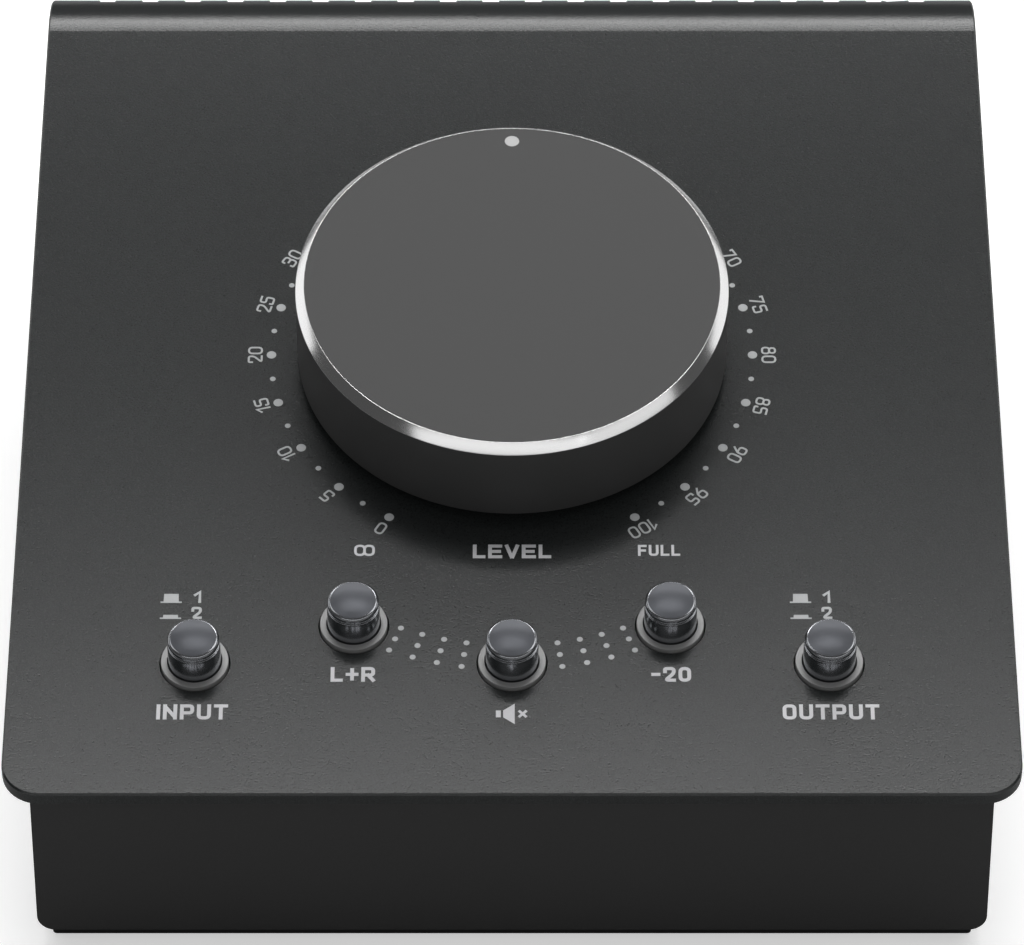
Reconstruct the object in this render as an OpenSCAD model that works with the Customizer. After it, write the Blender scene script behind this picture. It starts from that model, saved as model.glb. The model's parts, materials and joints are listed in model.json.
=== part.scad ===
// Studio monitor controller: a folded steel desk box with one large dial and five push buttons.
// The origin is on the table under the middle of the box. +X is to the user's right, +Y to the back, +Z up.
// Places on the sloped panel are given as (x, u, n): right, up the slope, and out of the panel,
// counted from the dial's centre on the panel's outer face.

/* [Case] */
// Width of the folded cover
cover_w = 132; // [130:0.5:140]
// Thickness of the cover's sheet
cover_t = 2; // [1.6:0.1:2.2]
// Slope of the panel in degrees
slope = 12.45; // [11:0.05:13.5]
// Height of the panel over the table at the dial's centre
dial_h = 44.9; // [44:0.1:48]
// Panel length from the dial's centre to the front edge
panel_front = 74.2; // [72:0.1:76]
// Panel length from the dial's centre to where the rear bend starts
panel_back = 60.4; // [58:0.1:64]
// Outer radius of the rear bend
bend_r = 14; // [12:0.5:15]
// Radius of the cover's two front corners
corner_r = 5; // [3:0.5:8]
// Small break along the cover's outer edges
edge_break = 0.25; // [0.1:0.05:0.5]
// Height of the apron's lower edge over the table
apron_z = 37.5; // [37:0.1:38]

/* [Vent slots] */
// Number of slots along the rear bend
slot_count = 20; // [10:1:20]
// Distance from one slot to the next
slot_pitch = 6.12; // [5:0.02:6.2]
// Width of a slot
slot_w = 2.4; // [1.5:0.1:3]
// Angle behind the vertical at which a slot starts on the bend
slot_start = 24; // [15:1:50]

/* [Tray and pad] */
// Width of the tray
tray_w = 125; // [124:0.5:126]
// Thickness of the tray's sheet
tray_t = 1.2; // [1:0.1:1.5]
// Outer radius of the folds between floor and sides
fold_r = 2.4; // [2:0.1:4]
// Distance from the cover's front edge back to the tray's front wall
tray_setback = 3.6; // [2:0.1:5]
// Thickness of the rubber pad
pad_t = 2.1; // [1.9:0.1:2.5]
// Inset of the pad from the tray's sides
pad_side = 1.8; // [1:0.1:6]
// Inset of the pad from the tray's front and back
pad_end = 1.6; // [1:0.1:4]

/* [Dial] */
// Outer diameter of the volume knob
knob_d = 58.3; // [50:0.1:60]
// Gap between the knob's skirt and the panel
knob_lift = 1.5; // [1:0.1:3]
// Height of the knob's face over the panel
knob_top = 15.1; // [14:0.1:20]
// Width of the bright bevel round the face
knob_bevel = 1.2; // [0.6:0.1:2]
// Wall thickness of the knob's skirt
knob_wall = 2.8; // [2:0.1:4]
// Distance of the pointer dot from the dial's centre
pointer_u = 25.6; // [20:0.1:26.5]
// Diameter of the pointer dot
pointer_d = 2; // [1.5:0.1:3]
// Diameter of the pot's shaft
shaft_d = 6; // [6:0.05:6.4]

/* [Buttons] */
// Distance from the middle to the outer buttons
button_far = 41.5; // [40:0.1:43]
// Distance from the middle to the inner raised buttons
button_near = 20.8; // [18:0.1:23]
// Distance below the dial's centre of the lower three buttons
button_low = 52.9; // [52:0.1:54.5]
// Distance below the dial's centre of the upper two buttons
button_high = 46.7; // [45:0.1:50]
// Diameter of a button's cap at its skirt
cap_d = 6.9; // [5.8:0.1:6.9]
// Height of the cap's crown over the panel
cap_top = 5.9; // [5.7:0.05:7.5]
// Travel of a button
travel = 2.5; // [1.5:0.1:2.6]
// Outer diameter of a collar
collar_d = 8.9; // [8.6:0.1:9.2]
// Inner diameter of a collar
collar_bore = 7.2; // [7.2:0.1:7.6]
// How far a collar stands proud of the panel
collar_proud = 0.6; // [0.3:0.05:1]

/* [Sockets] */
// Distance of the inner sockets from the middle
socket_near = 15; // [14:0.5:16]
// Distance of the outer sockets from the middle
socket_far = 45; // [44:0.5:46]
// Height of the lower row over the table
socket_low = 12.2; // [12:0.1:12.6]
// Height of the upper row over the table
socket_high = 28.6; // [28.2:0.1:28.8]
// Bore of a quarter-inch socket
socket_bore = 6.4; // [6.4:0.05:6.6]
// Depth of the bore from its mouth
socket_depth = 31.5; // [30:0.5:32]
// Outer diameter of the threaded bush
bush_d = 9; // [8.6:0.1:9.2]

/* [Hidden] */
$fn = 96;
eps = 0.01;
seam_gap = 0.1;      // between the tray's edges and the cover
apron_gap = 0.2;     // between the apron and the rear wall
hole_play = 0.15;    // round a bush or a screw in sheet metal
run_play = 0.05;     // running fit of a shaft or plunger

// the cover, worked out relative to the dial's centre
front_rel = -panel_front * cos(slope);
bend_y_rel = panel_back * cos(slope) + bend_r * sin(slope);
bend_z = dial_h + panel_back * sin(slope) - bend_r * cos(slope);
wall_y_rel = bend_y_rel + bend_r - cover_t - apron_gap;
washer_t = 0.6;
nut_t = 2.2;
bush_out = tray_t + washer_t + nut_t + 0.6;
mouth_y_rel = wall_y_rel - tray_t + bush_out;
head_h = 1.8;
rear_rel = max(mouth_y_rel, bend_y_rel + bend_r + head_h);

// the same in the part's frame, centred between the front edge and the rearmost screw head
dial_y = -(front_rel + rear_rel) / 2;
front_y = dial_y + front_rel;
bend_y = dial_y + bend_y_rel;
back_y = bend_y + bend_r;
wall_y = dial_y + wall_y_rel;
wall_in_y = wall_y - tray_t;
tray_front_y = front_y + tray_setback;
tray_floor = pad_t + tray_t;
rear_wall_top = 45;
slot_end_z = 47.5;
rear_screw_z = 41.3;
rear_screw_x = 55;

// pot and boards, depths counted down from the panel's outer face
bush_r = bush_d / 2;
pot_nose = 5.5;
pot_plate = 1.2;
gang_count = 4;
gang_pitch = 4.8;
gang_r = 8.2;
pot_depth = cover_t + pot_plate + gang_count * gang_pitch;
pin_w = 1;
pin_t = 0.4;
pin_x = 5;
pin_rows = [13, 11, -11, -13];
knob_r = knob_d / 2;
shaft_r = shaft_d / 2;
shaft_top = 11;
hub_r = 8.5;
hub_n = 5.9;
hub_top = 11.2;
set_n = 8.1;
flat_u = 2.5;
pot_nut_t = 2.2;
pot_washer_t = 0.8;

collar_flange = 1;
switch_w = 8.6;
switch_h = 8;
board_n = -(cover_t + collar_flange + switch_h);
board_t = 1.6;
board_w = 102;
board_front = -60;
board_back = 20;
plunger_r = 1.6;
plunger_low = -7.4;
plunger_high = 4.2;
cap_low = -0.2;
post_af = 5.5;
post_places = [[-47, -40], [47, -40], [-47, 14], [47, 14]];
pillar_af = 7;
pillar_x = 55;
pillar_y = front_y + 14;
screw_r = 1.5;
head_r = 2.75;

// button places, left to right
button_x = [-button_far, -button_near, 0, button_near, button_far];
button_u = [-button_low, -button_high, -button_low, -button_high, -button_low];

// socket places: the upper row holds the inputs, the lower row the outputs, left to right from behind
socket_x = [socket_far, socket_near, -socket_near, -socket_far];
socket_z = [socket_high, socket_low];
socket_body = 14.6;
socket_len = 29;
socket_board_y = wall_in_y - socket_len;
leg_x = 3.5;

ribbon_x = 30;
ribbon_w = 18;
ribbon_t = 0.9;
ribbon_r = 8;
ribbon_u = 12;
plug_w = 20;
plug_t = 6;
plug_d = 5.6;
ribbon_drop = 2;

// ---- helpers ----

// puts children at a place on the sloped panel, with their Z along its normal
module on_panel(x = 0, u = 0, n = 0) {
    translate([0, dial_y, dial_h])
        rotate([slope, 0, 0])
            translate([x, u, n])
                children();
}

// turns a drawing in the (Y, Z) plane into a solid along X, centred on x
module along_x(length, x = 0) {
    translate([x, 0, 0])
        rotate([90, 0, 90])
            translate([0, 0, -length / 2])
                linear_extrude(length)
                    children();
}

// a round bar whose axis runs along Y from y0 to y1
module bar_y(r, y0, y1) {
    translate([0, y0, 0])
        rotate([-90, 0, 0])
            cylinder(r = r, h = y1 - y0);
}

// a hexagonal bar, sized across its flats
module hex_bar(af, h) {
    cylinder(d = af / cos(30), h = h, $fn = 6);
}

// a flat washer or spacer ring
module ring(r_out, r_in, h) {
    difference() {
        cylinder(r = r_out, h = h);
        translate([0, 0, -1]) cylinder(r = r_in, h = h + 2);
    }
}

// a hexagon nut whose outer corners are turned off at 30 degrees
module chamfered_nut(af, r_in, h) {
    tip = af / 2 / cos(30);
    drop = (tip - af / 2) * tan(30);
    difference() {
        intersection() {
            hex_bar(af, h);
            rotate_extrude()
                polygon([[0, 0], [tip + eps, 0], [tip + eps, h - drop], [af / 2, h], [0, h]]);
        }
        translate([0, 0, -1]) cylinder(r = r_in, h = h + 2);
    }
}

// a pan-head screw: the head sits on z = 0 and the shank goes down, with a cross recess in the head
module pan_screw(length) {
    slot = [2.8, 0.6, 0.9];
    difference() {
        union() {
            rotate_extrude()
                polygon([[0, 0], [head_r, 0], [head_r, head_h * 0.45], [head_r * 0.72, head_h], [0, head_h]]);
            translate([0, 0, -length]) cylinder(r = screw_r, h = length + eps);
        }
        for (turn = [0, 90])
            rotate([0, 0, turn])
                translate([-slot[0] / 2, -slot[1] / 2, head_h - slot[2]])
                    cube([slot[0], slot[1], slot[2] + 1]);
    }
}

// ---- cover: one sheet section swept down the panel, round the bend and down the apron ----

// half width of the sheet at a depth below its outer face, with the broken edge
function sheet_points() = [
    [cover_w / 2 - edge_break, 0],
    [cover_w / 2, edge_break],
    [cover_w / 2, cover_t],
    [-cover_w / 2, cover_t],
    [-cover_w / 2, edge_break],
    [-cover_w / 2 + edge_break, 0]
];

module panel_sheet() {
    straight = panel_front - corner_r + panel_back;
    on_panel(0, -panel_front + corner_r)
        rotate([-90, 0, 0])
            linear_extrude(straight)
                polygon(sheet_points());
}

// the strip in front, between two round corner discs
module panel_nose() {
    inner_w = cover_w - 2 * corner_r;
    on_panel(0, -panel_front + corner_r) {
        rotate([90, 0, 90])
            translate([0, 0, -inner_w / 2])
                linear_extrude(inner_w)
                    polygon([
                        [0.5, 0], [-corner_r + edge_break, 0], [-corner_r, -edge_break],
                        [-corner_r, -cover_t], [0.5, -cover_t]
                    ]);
        for (side = [-1, 1])
            translate([side * inner_w / 2, 0, -cover_t])
                rotate_extrude()
                    polygon([
                        [0, 0], [corner_r, 0], [corner_r, cover_t - edge_break],
                        [corner_r - edge_break, cover_t], [0, cover_t]
                    ]);
    }
}

module rear_bend() {
    translate([0, bend_y, bend_z])
        rotate([90, 0, 90])
            rotate_extrude(angle = 90 + slope)
                polygon([for (p = sheet_points()) [bend_r - p[1], p[0]]]);
}

module rear_apron() {
    translate([0, back_y, apron_z])
        linear_extrude(bend_z - apron_z)
            polygon([for (p = sheet_points()) [p[0], -p[1]]]);
}

// one slot: a band round the bend and down the apron, with a round end each way
module vent_slot(x) {
    reach = 3;
    turn = 90 - slot_start;
    inner = bend_r - cover_t - reach;
    translate([x, bend_y, bend_z])
        rotate([90, 0, 90]) {
            rotate_extrude(angle = turn)
                translate([inner, -slot_w / 2])
                    square([bend_r + reach - inner, slot_w]);
            rotate([0, 0, turn])
                translate([inner, 0, 0])
                    rotate([0, 90, 0])
                        cylinder(d = slot_w, h = bend_r + reach - inner);
        }
    translate([x - slot_w / 2, bend_y + inner, slot_end_z])
        cube([slot_w, bend_r + reach - inner, bend_z - slot_end_z]);
    translate([x, 0, slot_end_z])
        bar_y(slot_w / 2, bend_y + inner, bend_y + bend_r + reach);
}

module top_cover() {
    color("dimgray")
        difference() {
            union() {
                panel_sheet();
                panel_nose();
                rear_bend();
                rear_apron();
            }
            for (i = [0 : slot_count - 1])
                vent_slot((i - (slot_count - 1) / 2) * slot_pitch);
            on_panel(0, 0, -cover_t - 1)
                cylinder(r = bush_r + hole_play, h = cover_t + 2);
            for (i = [0 : len(button_x) - 1])
                on_panel(button_x[i], button_u[i], -cover_t - 1)
                    cylinder(d = collar_d + 0.45, h = cover_t + 2);
            for (side = [-1, 0, 1])
                translate([side * rear_screw_x, 0, rear_screw_z])
                    bar_y(screw_r + hole_play, back_y - cover_t - 1, back_y + 1);
        }
}

// ---- tray ----

// the tray's cross-section seen from the front, closed at the top well above the cover
module tray_section(width, bottom, radius) {
    tall = 70;
    translate([-width / 2 + radius, bottom]) square([width - 2 * radius, tall]);
    translate([-width / 2, bottom + radius]) square([width, tall]);
    for (side = [-1, 1])
        translate([side * (width / 2 - radius), bottom + radius])
            circle(radius);
}

// the room under the cover's inner face, drawn in the (Y, Z) plane
module room_under_cover() {
    inset = cover_t + seam_gap;
    inner_r = bend_r - inset;
    front = front_y - 5;
    rear = bend_y + inner_r;
    roof_front = dial_h + (front - dial_y) * tan(slope) - inset / cos(slope);
    roof_rear = roof_front + (rear - front) * tan(slope);
    bend_start = bend_y - inner_r * sin(slope);
    difference() {
        polygon([[front, 0], [front, roof_front], [rear, roof_rear], [rear, 0]]);
        // all that lies outside the bend's inner face
        difference() {
            translate([bend_start, bend_z]) square(3 * bend_r);
            translate([bend_y, bend_z]) circle(inner_r);
        }
    }
}

module chassis_tray() {
    depth = wall_y - tray_front_y;
    inner_w = tray_w - 2 * tray_t;
    color([0.16, 0.16, 0.16])
        difference() {
            intersection() {
                difference() {
                    translate([0, wall_y, 0])
                        rotate([90, 0, 0])
                            linear_extrude(depth)
                                tray_section(tray_w, pad_t, fold_r);
                    translate([0, wall_in_y, 0])
                        rotate([90, 0, 0])
                            linear_extrude(depth - 2 * tray_t)
                                tray_section(inner_w, tray_floor, fold_r - tray_t);
                }
                along_x(tray_w + 2) room_under_cover();
            }
            // the rear wall stops behind the apron, so that the vents open into the case
            translate([-inner_w / 2, wall_in_y - 1, rear_wall_top])
                cube([inner_w, tray_t + 2, 30]);
            for (x = socket_x, z = socket_z)
                translate([x, 0, z])
                    bar_y(bush_r + hole_play, wall_in_y - 1, wall_y + 1);
            for (side = [-1, 0, 1])
                translate([side * rear_screw_x, 0, rear_screw_z])
                    bar_y(screw_r + hole_play, wall_in_y - 1, wall_y + 1);
            for (side = [-1, 1])
                translate([side * pillar_x, pillar_y, 0])
                    cylinder(r = screw_r + hole_play, h = tray_floor + 1);
        }
}

module base_pad() {
    corner = 0.6;
    w = tray_w - 2 * pad_side;
    y0 = tray_front_y + pad_end;
    y1 = wall_y - pad_end;
    color([0.1, 0.1, 0.1])
        difference() {
            linear_extrude(pad_t)
                union() {
                    translate([-w / 2 + corner, y0]) square([w - 2 * corner, y1 - y0]);
                    translate([-w / 2, y0 + corner]) square([w, y1 - y0 - 2 * corner]);
                    for (x = [-1, 1], y = [y0 + corner, y1 - corner])
                        translate([x * (w / 2 - corner), y]) circle(corner);
                }
            for (side = [-1, 1])
                translate([side * pillar_x, pillar_y, -1])
                    cylinder(r = head_r + 0.6, h = pad_t + 2);
        }
}

module cover_pillars() {
    color("silver")
        for (side = [-1, 1])
            difference() {
                translate([side * pillar_x, pillar_y, tray_floor])
                    hex_bar(pillar_af, 40);
                on_panel(0, -panel_front / 2, -cover_t)
                    translate([-cover_w / 2, -50, 0])
                        cube([cover_w, 100, 60]);
                translate([side * pillar_x, pillar_y, tray_floor - 1])
                    cylinder(r = screw_r + run_play, h = 13);
            }
}

module base_screws() {
    color("gray")
        for (side = [-1, 1])
            translate([side * pillar_x, pillar_y, pad_t])
                rotate([180, 0, 0])
                    pan_screw(tray_t + 10);
}

module rear_screws() {
    color("gray")
        for (side = [-1, 0, 1])
            translate([side * rear_screw_x, back_y, rear_screw_z])
                rotate([-90, 0, 0])
                    pan_screw(cover_t + apron_gap + tray_t + 2.5);
}

// ---- volume pot ----

// three flat pins of one gang: out of its side, then up or down through the board
module gang_pins(gang) {
    row = pin_rows[gang];
    n_mid = -(cover_t + pot_plate + (gang + 0.5) * gang_pitch);
    n_end = row > 0 ? board_n - board_t - 0.8 : board_n + 0.8;
    low = min(n_mid, n_end);
    high = max(n_mid, n_end);
    for (x = [-pin_x, 0, pin_x])
        translate([x - pin_w / 2, 0, 0]) {
            translate([0, min(row, 0), n_mid - pin_t / 2])
                cube([pin_w, abs(row), pin_t]);
            translate([0, row - pin_t / 2, low - pin_t / 2])
                cube([pin_w, pin_t, high - low + pin_t / 2]);
        }
}

module volume_pot() {
    plate_w = 17.6;
    color("darkgray")
        on_panel()
            difference() {
                union() {
                    translate([-plate_w / 2, -plate_w / 2, -cover_t - pot_plate])
                        cube([plate_w, plate_w, pot_plate]);
                    for (gang = [0 : gang_count - 1]) {
                        top = -(cover_t + pot_plate + gang * gang_pitch);
                        translate([0, 0, top - gang_pitch + 0.5])
                            cylinder(r = gang_r, h = gang_pitch - 0.5);
                        translate([0, 0, top - gang_pitch])
                            cylinder(r = gang_r + 0.5, h = 0.5);
                        gang_pins(gang);
                    }
                    translate([0, 0, -cover_t - eps])
                        cylinder(r = bush_r, h = cover_t + pot_nose - 0.5 + eps);
                    translate([0, 0, pot_nose - 0.5])
                        cylinder(r1 = bush_r, r2 = bush_r - 0.5, h = 0.5);
                }
                translate([0, 0, -pot_depth + 2])
                    cylinder(r = shaft_r + run_play, h = pot_depth + pot_nose);
            }
}

module pot_washer() {
    color("silver")
        on_panel() ring(8, bush_r + run_play, pot_washer_t);
}

module pot_nut() {
    color("silver")
        on_panel(0, 0, pot_washer_t) chamfered_nut(13, bush_r + run_play, pot_nut_t);
}

module pot_shaft() {
    low = -pot_depth + 2.4;
    color("silver")
        on_panel()
            difference() {
                union() {
                    translate([0, 0, low]) cylinder(r = shaft_r, h = shaft_top - 0.5 - low);
                    translate([0, 0, shaft_top - 0.5])
                        cylinder(r1 = shaft_r, r2 = shaft_r - 0.5, h = 0.5);
                }
                translate([-shaft_r - 1, flat_u, hub_n])
                    cube([2 * shaft_r + 2, 2, shaft_top]);
            }
}

// ---- knob: a hollow turned cap with a hub, bevelled round its face ----

module volume_knob() {
    inner = knob_r - knob_wall;
    blend = 1;
    arc = [for (a = [0 : 15 : 90]) [inner - blend + blend * cos(a), hub_top - blend + blend * sin(a)]];
    color("dimgray")
        on_panel()
            difference() {
                rotate_extrude()
                    polygon(concat(
                        [[0, knob_top], [knob_r - knob_bevel, knob_top],
                         [knob_r, knob_top - knob_bevel], [knob_r, knob_lift + 0.3],
                         [knob_r - 0.3, knob_lift], [inner, knob_lift]],
                        arc,
                        [[hub_r, hub_top], [hub_r, hub_n + 0.5], [hub_r - 0.5, hub_n],
                         [shaft_r + run_play, hub_n], [shaft_r + run_play, hub_top], [0, hub_top]]
                    ));
                translate([0, pointer_u, knob_top - 0.6])
                    cylinder(d = pointer_d, h = 1);
                translate([0, 0, set_n])
                    bar_y(screw_r, 0, hub_r + 1);
                translate([0, 0, set_n])
                    bar_y(screw_r + 0.2, inner - 1, knob_r + 1);
            }
}

module knob_pointer() {
    color("gainsboro")
        on_panel(0, pointer_u, knob_top - 0.6)
            cylinder(d = pointer_d - 0.04, h = 0.55);
}

module knob_set_screw() {
    low = flat_u + 0.02;
    high = hub_r - 0.3;
    color("black")
        on_panel(0, 0, set_n)
            difference() {
                bar_y(screw_r - 0.03, low, high);
                translate([0, high - 1.5, 0])
                    rotate([-90, 0, 0])
                        hex_bar(1.5, 3);
            }
}

// ---- push buttons ----

module collar(i) {
    r_out = collar_d / 2;
    r_in = collar_bore / 2;
    soft = 0.35;
    rim = [for (a = [0 : 15 : 90]) [r_out - soft + soft * cos(a), collar_proud - soft + soft * sin(a)]];
    color("gray")
        on_panel(button_x[i], button_u[i])
            rotate_extrude()
                polygon(concat(
                    [[r_in, -cover_t - collar_flange], [r_out + 1.3, -cover_t - collar_flange],
                     [r_out + 1.3, -cover_t], [r_out, -cover_t]],
                    rim,
                    [[r_in + 0.1, collar_proud], [r_in, collar_proud - 0.1]]
                ));
}

module push_switch(i) {
    top = -cover_t - collar_flange;
    nose_w = 7.4;
    color("ivory")
        on_panel(button_x[i], button_u[i])
            difference() {
                union() {
                    translate([-switch_w / 2, -switch_w / 2, board_n])
                        cube([switch_w, switch_w, switch_h - 1.5]);
                    translate([-nose_w / 2, -nose_w / 2, board_n])
                        cube([nose_w, nose_w, switch_h]);
                    for (x = [-2.5, 2.5], u = [-2.5, 0, 2.5])
                        translate([x, u, board_n - board_t - 0.8])
                            cylinder(r = 0.4, h = board_t + 1);
                }
                translate([0, 0, plunger_low - travel - 0.3])
                    cylinder(r = plunger_r + run_play, h = 20);
                translate([0, 0, top - 1])
                    cylinder(r = plunger_r + 0.8, h = 2);
            }
}

module switch_plunger(i) {
    color("white")
        on_panel(button_x[i], button_u[i], plunger_low)
            cylinder(r = plunger_r, h = plunger_high - plunger_low);
}

// a turned cap: shallow crown, rounded rim, two fine grooves and a straight skirt round a socket
module button_cap(i) {
    skirt = cap_d / 2;
    r = skirt - 0.06;
    rim = 0.55;
    crown = 0.4;
    crown_r = ((r - rim) * (r - rim) + crown * crown) / (2 * crown);
    steps = 6;
    dome = [for (k = [0 : steps])
        let (x = (r - rim) * k / steps)
        [x, cap_top - crown_r + sqrt(crown_r * crown_r - x * x)]];
    edge_n = cap_top - crown - rim;
    edge = [for (a = [75 : -15 : 0]) [r - rim + rim * cos(a), edge_n + rim * sin(a)]];
    groove = 0.12;
    cut = [for (k = [0, 1]) let (n = edge_n - 0.12 - k * 0.36)
        each [[r, n], [r - groove, n - groove], [r, n - 2 * groove]]];
    color([0.25, 0.26, 0.28])
        on_panel(button_x[i], button_u[i])
            rotate_extrude()
                polygon(concat(
                    dome, edge, cut,
                    [[r, edge_n - 1], [skirt, edge_n - 1.3],
                     [skirt, cap_low + 0.2], [skirt - 0.2, cap_low], [2.5, cap_low], [2.5, 1.4],
                     [plunger_r + 0.02, 1.8], [plunger_r + 0.02, plunger_high], [0, plunger_high]]
                ));
}

// ---- control board ----

module control_board() {
    color("darkgreen")
        on_panel(0, 0, board_n - board_t)
            difference() {
                translate([-board_w / 2, board_front, 0])
                    cube([board_w, board_back - board_front, board_t]);
                translate([0, 0, -1]) cylinder(r = gang_r + 1.2, h = board_t + 2);
                for (row = pin_rows, x = [-pin_x, 0, pin_x])
                    translate([x, row, -1]) cylinder(r = 0.7, h = board_t + 2);
                for (i = [0 : len(button_x) - 1], x = [-2.5, 2.5], u = [-2.5, 0, 2.5])
                    translate([button_x[i] + x, button_u[i] + u, -1])
                        cylinder(r = 0.55, h = board_t + 2);
                for (p = post_places)
                    translate([p[0], p[1], -1])
                        cylinder(r = screw_r + hole_play, h = board_t + 2);
            }
}

module board_pillars() {
    color("silver")
        for (p = post_places)
            on_panel(p[0], p[1], board_n)
                difference() {
                    hex_bar(post_af, -cover_t - board_n);
                    translate([0, 0, -1]) cylinder(r = screw_r + run_play, h = 8);
                }
}

module board_screws() {
    color("gray")
        for (p = post_places)
            on_panel(p[0], p[1], board_n - board_t)
                rotate([180, 0, 0])
                    pan_screw(board_t + 6);
}

module pad_resistors() {
    chip = [3.2, 1.6, 0.6];
    color([0.12, 0.12, 0.14])
        for (side = [-1, 1], k = [0 : 3])
            on_panel(side * 24, -24 + k * 5, board_n)
                translate([-chip[0] / 2, -chip[1] / 2, 0])
                    cube(chip);
}

// ---- sockets ----

// one socket: moulded body behind the rear wall, threaded bush through it, three legs
module jack(column, row) {
    half = socket_body / 2;
    chamfer = 0.4;
    color([0.1, 0.1, 0.1])
        translate([socket_x[column], wall_in_y, socket_z[row]])
            rotate([-90, 0, 0])
                difference() {
                    union() {
                        translate([-half, -half, -socket_len + 3])
                            cube([socket_body, socket_body, socket_len - 3]);
                        translate([-half + 0.4, -half + 0.4, -socket_len])
                            cube([socket_body - 0.8, socket_body - 0.8, 4]);
                        cylinder(r = bush_r, h = bush_out - chamfer);
                        translate([0, 0, bush_out - chamfer])
                            cylinder(r1 = bush_r, r2 = bush_r - chamfer, h = chamfer);
                        for (p = [[-leg_x, -4], [leg_x, -4], [0, 5]])
                            translate([p[0], p[1], -socket_len - board_t - 0.8])
                                cylinder(r = 0.5, h = 3);
                    }
                    translate([0, 0, bush_out - socket_depth])
                        cylinder(d = socket_bore, h = socket_depth + 1);
                    translate([0, 0, bush_out - chamfer])
                        cylinder(d1 = socket_bore, d2 = socket_bore + 2 * chamfer + 0.2, h = chamfer + 0.1);
                }
}

module socket_washers() {
    color("silver")
        for (x = socket_x, z = socket_z)
            translate([x, wall_y, z])
                rotate([-90, 0, 0])
                    ring(6.4, bush_r + run_play, washer_t);
}

module socket_nuts() {
    color("silver")
        for (x = socket_x, z = socket_z)
            translate([x, wall_y + washer_t, z])
                rotate([-90, 0, 0])
                    chamfered_nut(12, bush_r + run_play, nut_t);
}

module socket_board() {
    w = 114;
    low = 5;
    high = 41;
    color("darkgreen")
        difference() {
            translate([-w / 2, socket_board_y - board_t, low])
                cube([w, board_t, high - low]);
            for (x = socket_x, z = socket_z, p = [[-leg_x, 4], [leg_x, 4], [0, -5]])
                translate([x + p[0], 0, z + p[1]])
                    bar_y(0.65, socket_board_y - board_t - 1, socket_board_y + 1);
        }
}

// ---- ribbon cable: straight down from the control board, one bend, then level into the socket board ----

ribbon_start = [
    dial_y + ribbon_u * cos(slope) - (board_n - board_t - plug_t) * sin(slope),
    dial_h + ribbon_u * sin(slope) + (board_n - board_t - plug_t) * cos(slope)
];
bend_start = ribbon_start + ribbon_drop * [sin(slope), -cos(slope)];
ribbon_centre = bend_start + ribbon_r * [cos(slope), sin(slope)];
ribbon_z = ribbon_centre[1] - ribbon_r;
rear_plug_y = socket_board_y - board_t - plug_d;

module ribbon_cable() {
    half = ribbon_t / 2;
    far = 3 * ribbon_r;
    color("gray")
        along_x(ribbon_w, ribbon_x) {
            translate(ribbon_start)
                rotate(slope)
                    translate([-half, -ribbon_drop])
                        square([ribbon_t, ribbon_drop]);
            translate(ribbon_centre)
                intersection() {
                    difference() {
                        circle(ribbon_r + half);
                        circle(ribbon_r - half);
                    }
                    polygon([
                        [0, 0], -far * [cos(slope), sin(slope)],
                        -far * [1, 1], [0, -far]
                    ]);
                }
            translate([ribbon_centre[0], ribbon_z - half])
                square([rear_plug_y - ribbon_centre[0], ribbon_t]);
        }
}

module front_ribbon_plug() {
    color([0.15, 0.15, 0.15])
        on_panel(ribbon_x, ribbon_u, board_n - board_t - plug_t)
            translate([-plug_w / 2, -plug_d / 2, 0])
                cube([plug_w, plug_d, plug_t]);
}

module rear_ribbon_plug() {
    color([0.15, 0.15, 0.15])
        translate([ribbon_x - plug_w / 2, rear_plug_y, ribbon_z - plug_t / 2])
            cube([plug_w, plug_d, plug_t]);
}

// ---- nodes ----

top_cover();
chassis_tray();
base_pad();
volume_pot();
pot_washer();
pot_nut();
control_board();
board_pillars();
board_screws();
pad_resistors();
push_switch(0);  // input_switch
push_switch(1);  // mono_switch
push_switch(2);  // mute_switch
push_switch(3);  // dim_switch
push_switch(4);  // output_switch
collar(0);  // input_collar
collar(1);  // mono_collar
collar(2);  // mute_collar
collar(3);  // dim_collar
collar(4);  // output_collar
jack(0, 0);  // input_a_left_jack
jack(1, 0);  // input_a_right_jack
jack(2, 0);  // input_b_left_jack
jack(3, 0);  // input_b_right_jack
jack(0, 1);  // output_a_left_jack
jack(1, 1);  // output_a_right_jack
jack(2, 1);  // output_b_left_jack
jack(3, 1);  // output_b_right_jack
socket_washers();
socket_nuts();
socket_board();
ribbon_cable();
front_ribbon_plug();
rear_ribbon_plug();
cover_pillars();
base_screws();
rear_screws();
volume_knob();
knob_pointer();
pot_shaft();
knob_set_screw();
button_cap(0);  // input_cap
button_cap(1);  // mono_cap
button_cap(2);  // mute_cap
button_cap(3);  // dim_cap
button_cap(4);  // output_cap
switch_plunger(0);  // input_plunger
switch_plunger(1);  // mono_plunger
switch_plunger(2);  // mute_plunger
switch_plunger(3);  // dim_plunger
switch_plunger(4);  // output_plunger
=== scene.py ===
# %% [markdown]
# # A desk box with one large dial
#
# This notebook dresses a monitor controller: a folded steel box with a turned knob, five push
# buttons and a printed scale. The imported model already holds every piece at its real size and
# place, so nothing is moved or resized here. The cells make the surfaces that catch the light,
# the print on the panel, the finishes, and a small studio round it all.

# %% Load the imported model
import json
import math

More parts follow.
